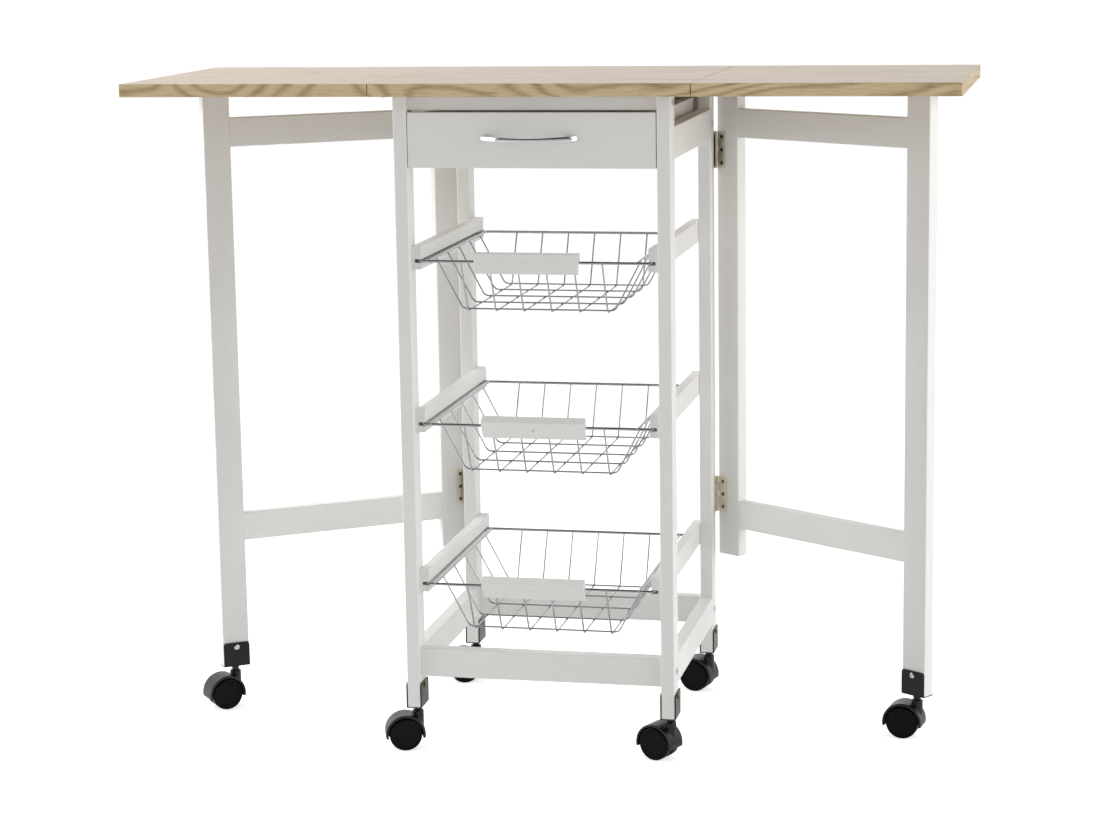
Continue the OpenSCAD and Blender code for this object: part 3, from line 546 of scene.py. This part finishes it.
class TROLLEY_OT_boards(bpy.types.Operator):
    """Make the centre top and the two leaves, with printed faces and edge bands"""

    bl_idname = "trolley.boards"
    bl_label = "Boards"

    def execute(self, context):
        ease = context.scene.trolley_sizes.board_ease
        for node in ("centre_top", "leaf_left", "leaf_right"):
            piece = eased(node, ease)
            settle(piece, node, "oak laminate face", "oak edge band long", "oak edge band short")
            for face in piece.data.polygons:
                across, deep, up = (abs(part) for part in face.normal)
                if up < 0.5:
                    face.material_index = 1 if deep > across else 2
        return {"FINISHED"}


class TROLLEY_OT_post_frame(bpy.types.Operator):
    """Make the posts, rails, aprons and runners with eased edges"""

    bl_idname = "trolley.post_frame"
    bl_label = "Post frame"

    def execute(self, context):
        ease = context.scene.trolley_sizes.timber_ease
        for post in POSTS:
            painted(f"post_{post}", ease, "upright")
        for node in ("top_rail_front", "apron_back"):
            painted(node, ease, "across")
        for node in ("side_aprons", "basket_runners", "drawer_strips"):
            painted(node, ease, "deep")
        painted("foot_rails", ease, "across")
        return {"FINISHED"}


class TROLLEY_OT_drawer(bpy.types.Operator):
    """Make the drawer with its front and box"""

    bl_idname = "trolley.drawer"
    bl_label = "Drawer"

    def execute(self, context):
        ease = context.scene.trolley_sizes.timber_ease
        for part, way in (("front", "across"), ("sides", "deep"), ("back", "across")):
            painted(f"drawer_{part}", ease, way)
        dress(("drawer_bottom",), "white coated hardboard")
        return {"FINISHED"}


class TROLLEY_OT_bow_handle(bpy.types.Operator):
    """Make the bow handle: a polished bar with a waist and flared ends, on two feet"""

    bl_idname = "trolley.bow_handle"
    bl_label = "Bow handle"

    def execute(self, context):
        sizes = context.scene.trolley_sizes
        low, high = (Vector(corner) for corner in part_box("drawer_handle"))
        middle = (low + high) / 2
        half, reach = (high.x - low.x) / 2, high.y - low.y
        # the bow is an arc round a point behind the drawer's face, as far to each side as its lead
        self.radius = (half**2 + reach**2) / (2 * reach)
        self.centre = Vector((middle.x, low.y + self.radius, middle.z))
        self.lead = math.asin(half / self.radius) + BOW_OVERRUN
        bar = self.spun_bar(sizes.bow_thickness)
        self.draw_in(bar, sizes, half, high.z - low.z)
        bpy.ops.mesh.select_all(action="SELECT")
        bpy.ops.mesh.bisect(
            plane_co=(0, high.y, 0), plane_no=(0, 1, 0), use_fill=True, clear_outer=True
        )
        for side in (-1, 1):
            place = Vector((middle.x + side * (half - sizes.bow_foot_inset), high.y, middle.z))
            self.foot(bar, sizes.bow_foot_width / 2, place)
        bpy.ops.object.mode_set(mode="OBJECT")
        finish_shading(bar, 50)
        bar.name = "bow_handle"
        settle(bar, "drawer_handle", "polished chrome plate")
        return {"FINISHED"}

    def spun_bar(self, thickness):
        """A bar of square section with round corners, spun along the bow and left in edit mode."""
        arm = Vector((0, -self.radius + thickness / 2, 0))
        start = self.centre + Matrix.Rotation(-self.lead, 3, "Z") @ arm
        deselect_all()
        bpy.ops.mesh.primitive_plane_add(
            size=thickness, location=start, rotation=(0, math.pi / 2, -self.lead)
        )
        bar = bpy.context.object
        bpy.ops.object.transform_apply(location=True, rotation=True, scale=True)
        bpy.ops.object.mode_set(mode="EDIT")
        bpy.ops.mesh.select_all(action="SELECT")
        bpy.ops.mesh.bevel(offset=1.25 * MM, segments=5, profile=0.5, affect="VERTICES")
        bpy.ops.mesh.spin(
            steps=BOW_STEPS, angle=-2 * self.lead, center=self.centre, axis=(0, 0, 1)
        )
        return bar

    def draw_in(self, bar, sizes, half, end_height):
        """Stretches each ring of the bar upright, from the waist to the height of the ends."""
        for step in range(BOW_STEPS + 1):
            angle = -self.lead + 2 * self.lead * step / BOW_STEPS
            share = min(1.0, abs(math.sin(angle)) * self.radius / half)
            height = sizes.bow_waist + (end_height - sizes.bow_waist) * share**BOW_FLARE

            def on_ring(vert):
                arm = vert.co - self.centre
                return abs(math.atan2(arm.x, -arm.y) - angle) < self.lead / BOW_STEPS * 0.5

            pick(bar.data, "VERT", on_ring)
            stretch = (1, 1, height / sizes.bow_thickness)
            bpy.ops.transform.resize(value=stretch, center_override=self.centre)

    def foot(self, bar, radius, place):
        """A round foot on the drawer's face, which narrows to a neck under the bar."""
        bpy.ops.mesh.select_all(action="DESELECT")
        bpy.ops.mesh.primitive_cylinder_add(
            vertices=32,
            radius=radius,
            depth=BOW_FOOT,
            location=place - Vector((0, BOW_FOOT / 2, 0)),
            rotation=(math.pi / 2, 0, 0),
        )
        front = place.y - BOW_FOOT + 5 * HAIR

        def on_front_end(vert):
            apart = math.hypot(vert.co.x - place.x, vert.co.z - place.z)
            return vert.co.y < front and abs(apart - radius) < HAIR / 5

        pick(bar.data, "VERT", on_front_end)
        bpy.ops.transform.resize(value=(BOW_NECK, 1, BOW_NECK), center_override=place)


class TROLLEY_OT_baskets(bpy.types.Operator):
    """Finish the wire baskets and make their grips"""

    bl_idname = "trolley.baskets"
    bl_label = "Wire baskets"

    def execute(self, context):
        ease = context.scene.trolley_sizes.grip_ease
        for level in LEVELS:
            dress((f"basket_{level}",), "bright chrome plate")
            grip = f"basket_{level}_grip"
            settle(eased(grip, ease), grip, "white painted timber across")
        return {"FINISHED"}


class TROLLEY_OT_gates(bpy.types.Operator):
    """Make the timber of the two gates"""

    bl_idname = "trolley.gates"
    bl_label = "Gates"

    def execute(self, context):
        ease = context.scene.trolley_sizes.timber_ease
        for side in SIDES:
            for part, way in (("stile", "upright"), ("leg", "upright"), ("rails", "across")):
                painted(f"gate_{side}_{part}", ease, way)
        return {"FINISHED"}


class TROLLEY_OT_fittings(bpy.types.Operator):
    """Finish the hinges, screws, bolts, angles and caster brackets"""

    bl_idname = "trolley.fittings"
    bl_label = "Fittings"

    def execute(self, context):
        sizes = context.scene.trolley_sizes
        hinges = ["leaf_hinge_plates", *(f"leaf_hinge_flaps_{side}" for side in SIDES)]
        hinges += ["post_hinge_leaves", *(f"gate_{side}_hinge_leaves" for side in SIDES)]
        for node in hinges:
            self.hinge(node, sizes)
        screws = ["frame_bolts", "top_angles", "drawer_handle_screws", "basket_middle_grip_screw"]
        screws += [f"gate_{side}_bracket_screws" for side in SIDES]
        dress(screws, "bright zinc plate")
        dress(["frame_screws"], "yellow chromated zinc plate")
        dress(["basket_low_grip_screw", "basket_high_grip_screw"], "white painted steel screw")
        for node in ("post_caster_brackets", "gate_left_bracket", "gate_right_bracket"):
            self.bracket(node, sizes)
        return {"FINISHED"}

    def hinge(self, node, sizes):
        """Hinge leaves with eased edges, whose screws have a finish of their own."""
        piece = eased(node, sizes.sheet_ease, HINGE_EDGE)
        settle(piece, node, "dull nickel plate", "browned steel screw")
        for index in small_parts(piece.data, HINGE_SCREW):
            piece.data.polygons[index].material_index = 1

    def bracket(self, node, sizes):
        """A caster bracket with round folds at its bottom and eased edges."""
        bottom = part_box(node)[0][2] + HAIR

        def fold(edge):
            return outer(edge, FOLD) and all(vert.co.z < bottom for vert in edge.verts)

        piece = whole_copy(node)
        round_edges(piece, sizes.bend, fold, segments=3)
        round_edges(piece, sizes.sheet_ease, lambda edge: outer(edge, BRACKET_EDGE, sharper=60))
        bpy.ops.object.mode_set(mode="OBJECT")
        finish_shading(piece)
        settle(piece, node, "black powder coated steel")


class TROLLEY_OT_casters(bpy.types.Operator):
    """Model a housing and a pair of wheels once, and put a copy of each under every leg"""

    bl_idname = "trolley.casters"
    bl_label = "Casters"

    def execute(self, context):
        sizes = context.scene.trolley_sizes
        # the two templates have their swivel axis at the origin and their wheels towards +X
        stem, axle = self.spots("front_left")
        self.trail = (axle - stem).xy.length
        self.axle_z = self.wheel_r = axle.z
        made = ((self.wheels(sizes), "wheels", "wheel"), (self.housing(sizes), "caster", "hood"))
        for leg in LEGS:
            stem, axle = self.spots(leg)
            way = axle - stem
            turned = Matrix.Rotation(math.atan2(way.y, way.x), 4, "Z")
            place = Matrix.Translation((stem.x, stem.y, 0)) @ turned
            for template, kind, finish in made:
                piece = bpy.data.objects.new(f"{kind}_{leg}_moulded", template.data.copy())
                bpy.context.scene.collection.objects.link(piece)
                piece.data.transform(place)
                settle(piece, f"{kind}_{leg}", f"moulded black nylon {finish}")
        for template, *_ in made:
            bpy.data.objects.remove(template)
        return {"FINISHED"}

    def spots(self, leg):
        """Where the swivel and the axle of a leg's caster stand."""
        joints = (f"caster_{leg}_swivel", f"wheels_{leg}_spin")
        return (Vector(JOINTS[name]["pos_m"]) for name in joints)

    def wheels(self, sizes):
        """Two dished discs with round rims."""
        inside = sizes.web / 2 + 0.5 * MM
        outside = inside + sizes.tread
        wheel = self.drum(self.wheel_r, inside, outside, 72)

        def inner_rim(edge):
            return outer(edge, 0) and all(vert.co.y < inside + HAIR for vert in edge.verts)

        def outer_rim(edge):
            return all(vert.co.y > outside - HAIR for vert in edge.verts)

        bpy.ops.object.mode_set(mode="EDIT")
        round_edges(wheel, sizes.rim_round, outer_rim, segments=5)
        round_edges(wheel, 0.8 * MM, inner_rim)
        # the outer face is the only one of that side over 300 square millimetres
        large = 300 * MM * MM
        pick(wheel.data, "FACE", lambda face: face.normal.y > 0.99 and face.calc_area() > large)
        for width, step in WHEEL_FACE:
            bpy.ops.mesh.inset(thickness=width * MM, depth=step * MM)
        bpy.ops.object.mode_set(mode="OBJECT")
        apply_modifier(wheel, "MIRROR", use_axis=(False, True, False))
        finish_shading(wheel)
        return wheel

    def column(self, profile):
        """A turned upright on the swivel axis through pairs of radius and height, bottom up."""
        foot_r, foot_z = profile[0]
        deselect_all()
        bpy.ops.mesh.primitive_circle_add(
            vertices=48, radius=foot_r, fill_type="NGON", location=(0, 0, foot_z)
        )
        column = bpy.context.object
        bpy.ops.object.transform_apply(location=True, rotation=True, scale=True)
        bpy.ops.object.mode_set(mode="EDIT")
        bpy.ops.mesh.select_all(action="SELECT")
        for (radius, height), (wider, higher) in zip(profile, profile[1:]):
            rise = {"value": (0, 0, higher - height)}
            bpy.ops.mesh.extrude_region_move(TRANSFORM_OT_translate=rise)
            share = wider / radius
            bpy.ops.transform.resize(value=(share, share, 1), center_override=(0, 0, higher))
        bpy.ops.mesh.select_all(action="SELECT")
        bpy.ops.mesh.normals_make_consistent(inside=False)
        bpy.ops.object.mode_set(mode="OBJECT")
        return column

    def drum(self, radius, low, high, vertices=96):
        """A cylinder round the axle from one place across the caster to another."""
        deselect_all()
        bpy.ops.mesh.primitive_cylinder_add(
            vertices=vertices,
            radius=radius,
            depth=high - low,
            location=(self.trail, (low + high) / 2, self.axle_z),
            rotation=(math.pi / 2, 0, 0),
        )
        bpy.ops.object.transform_apply(location=True, rotation=True, scale=True)
        return bpy.context.object

    def housing(self, sizes):
        """The moulded hood, web and boss in one, with soft edges, and the riveted stem."""
        room_r = self.wheel_r + 1.3 * MM  # the wheels clear the hood by the difference
        half = sizes.caster_width / 2
        hood = self.drum(room_r + sizes.hood_wall, -half, half)
        boss_r, top, chamfer = sizes.boss / 2, 50.5 * MM, 0.8 * MM
        boss = self.column([(boss_r, 0), (boss_r, top - chamfer), (boss_r - chamfer, top)])
        self.combine(hood, "UNION", boss)
        for side in (-1, 1):
            ends = (side * sizes.web / 2, side * sizes.caster_width)
            self.combine(hood, "DIFFERENCE", self.drum(room_r, min(ends), max(ends)))
        take_up(hood)
        bpy.ops.object.mode_set(mode="EDIT")
        bpy.ops.mesh.select_all(action="SELECT")
        # the hood ends a little below the axle, and only the wheels go on down
        edge_z = self.axle_z - 5 * MM
        bpy.ops.mesh.bisect(
            plane_co=(0, 0, edge_z), plane_no=(0, 0, -1), use_fill=True, clear_outer=True
        )
        bpy.ops.object.mode_set(mode="OBJECT")
        # soft edges all over, as a mould gives them
        apply_modifier(hood, "REMESH", mode="VOXEL", voxel_size=0.55 * MM, use_smooth_shade=True)
        apply_modifier(hood, "SMOOTH", factor=0.5, iterations=5)
        stem = self.column([(radius * MM, height * MM) for radius, height in STEM])
        axle_end = half - 2 * MM
        axle = self.drum(2.5 * MM, -axle_end, axle_end, 32)
        for piece in (stem, axle):
            take_up(piece)
            bpy.ops.object.shade_smooth_by_angle(angle=math.radians(SMOOTH_BELOW))
        return joined(hood, stem, axle)

    def combine(self, body, how, tool):
        """Adds a solid to a body or cuts it out, and takes the solid away."""
        apply_modifier(body, "BOOLEAN", operation=how, solver="EXACT", object=tool)
        bpy.data.objects.remove(tool)


# The camera's place, and its turns in degrees: to the left, down, and level
CAMERA_PLACE = (0.7143, -3.3445, 1.0476)
CAMERA_TURNS = ((12.336, "Z"), (90 - 10.486, "X"), (-0.909, "Z"))
FLOOR_WIDTH = 160  # wide enough to reach the horizon in the picture


class TROLLEY_OT_stage(bpy.types.Operator):
    """Make the floor, the white surround, the lamps and the camera"""

    bl_idname = "trolley.stage"
    bl_label = "Studio"

    def execute(self, context):
        studio = context.scene.trolley_studio
        self.floor()
        self.surround(context.scene, studio.ambient, studio.dim)
        side_lamp = {"towards": (0, 0, 0.5), "size": 2.4, "power": studio.key}
        for side in (-1, 1):
            self.lamp(f"side lamp {side}", (side * 3.2, -0.6, 1.3), **side_lamp)
        top_lamp = {"towards": (-0.2, 0, 0.8), "size": 1.0, "power": studio.key * 0.4}
        self.lamp("top lamp", (-1.7, 0.4, 2.0), **top_lamp)
        camera = bpy.data.cameras.new("camera")
        camera.lens, camera.sensor_width, camera.sensor_fit = studio.lens, 36, "HORIZONTAL"
        camera.clip_end = 1.25 * FLOOR_WIDTH
        holder = bpy.data.objects.new("camera", camera)
        context.scene.collection.objects.link(holder)
        place = Matrix.Translation(CAMERA_PLACE)
        for degrees, axis in CAMERA_TURNS:
            place = place @ Matrix.Rotation(math.radians(degrees), 4, axis)
        holder.matrix_world = place
        context.scene.camera = holder
        context.scene.view_settings.view_transform = "Standard"
        return {"FINISHED"}

    def floor(self):
        """A pale floor that is white to the camera and keeps the trolley's soft shadow."""
        deselect_all()
        bpy.ops.mesh.primitive_plane_add(size=FLOOR_WIDTH, location=(0, 0, 0))
        floor = bpy.context.object
        floor.name = "studio_floor"
        white = (*linear("F2F2F2"), 1)
        name = "matt white studio floor"
        tree, principled, _ = start_material(name, Roughness=0.9, Base_Color=white)
        ray = add(tree, "LightPath")
        glow = add(tree, "Emission", {"Color": (1, 1, 1, 1), "Strength": 0.6})
        paint = principled.outputs[0]
        seen = add(tree, "AddShader", {0: paint, 1: glow.outputs[0]}).outputs[0]
        picked = add(tree, "MixShader", {0: ray.outputs["Is Camera Ray"], 1: paint, 2: seen})
        tree.links.new(picked.outputs[0], tree.nodes["Material Output"].inputs["Surface"])
        floor.data.materials.append(made_materials[name])

    def surround(self, scene, ambient, dim):
        """White to the camera. What metal and gloss mirror is that white behind the trolley and a
        dark room on the camera's side, and the light on matt faces falls off the same way."""
        world = bpy.data.worlds.new("white surround")
        scene.world = world
        world.use_nodes = True
        tree = world.node_tree
        way = add(tree, "SeparateXYZ", {0: add(tree, "TexCoord").outputs["Generated"]}).outputs["Y"]
        ends = {"To Min": dim, "To Max": ambient}
        matt = add(tree, "MapRange", {"Value": way, "From Min": -1.0, **ends})
        mirrored = add(
            tree, "MapRange", {"Value": way, "From Min": -0.5, "From Max": 0.5, "To Min": 0.02}
        )
        ray = add(tree, "LightPath").outputs
        clear = add(
            tree,
            "Math",
            {0: ray["Is Glossy Ray"], 1: ray["Is Transmission Ray"]},
            operation="MAXIMUM",
        )
        levels = {NUMBER_A: matt.outputs[0], NUMBER_B: mirrored.outputs[0]}
        lit = add(tree, "Mix", {SHARE: clear.outputs[0], **levels}).outputs[0]
        strength = add(tree, "Mix", {SHARE: ray["Is Camera Ray"], NUMBER_A: lit, NUMBER_B: 1.0})
        background = tree.nodes["Background"].inputs
        background["Color"].default_value = (1, 1, 1, 1)
        tree.links.new(strength.outputs[0], background["Strength"])

    def lamp(self, name, place, towards, size, power):
        """A square soft lamp that faces a point."""
        bpy.ops.object.light_add(type="AREA", location=place)
        lamp = bpy.context.object
        lamp.name = lamp.data.name = name
        lamp.data.shape, lamp.data.size, lamp.data.energy = "SQUARE", size, power
        lamp.rotation_euler = (Vector(towards) - Vector(place)).to_track_quat("-Z", "Y").to_euler()


class TROLLEY_PT_panel(bpy.types.Panel):
    """The steps that dress the trolley"""

    bl_idname = "TROLLEY_PT_panel"
    bl_label = "Folding service trolley"
    bl_space_type = "VIEW_3D"
    bl_region_type = "UI"
    bl_category = "Trolley"

    def draw(self, context):
        for step in STEPS:
            self.layout.operator(step.bl_idname)
        for group in GROUPS:
            box = self.layout.box()
            settings = getattr(context.scene, GROUPS[group])
            for name in group.__annotations__:
                box.prop(settings, name)


STEPS = (
    TROLLEY_OT_boards,
    TROLLEY_OT_post_frame,
    TROLLEY_OT_drawer,
    TROLLEY_OT_bow_handle,
    TROLLEY_OT_baskets,
    TROLLEY_OT_gates,
    TROLLEY_OT_fittings,
    TROLLEY_OT_casters,
    TROLLEY_OT_stage,
)
GROUPS = {
    TrolleyFinishes: "trolley_finishes",
    TrolleySizes: "trolley_sizes",
    TrolleyStudio: "trolley_studio",
}


def register():
    """Registers the classes and hangs the settings on the scene."""
    for group, name in GROUPS.items():
        bpy.utils.register_class(group)
        setattr(bpy.types.Scene, name, bpy.props.PointerProperty(type=group))
    for step in (*STEPS, TROLLEY_PT_panel):
        bpy.utils.register_class(step)


def unregister():
    """Takes everything back that register() added."""
    for step in (TROLLEY_PT_panel, *reversed(STEPS)):
        bpy.utils.unregister_class(step)
    for group, name in GROUPS.items():
        delattr(bpy.types.Scene, name)
        bpy.utils.unregister_class(group)


def main():
    """Dresses the frame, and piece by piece."""
    register()
    make_materials(bpy.context.scene.trolley_finishes)
    for step in STEPS:
        operator = getattr(bpy.ops.trolley, step.bl_idname.split(".")[1])
        operator()


if __name__ == "__main__":
    main()
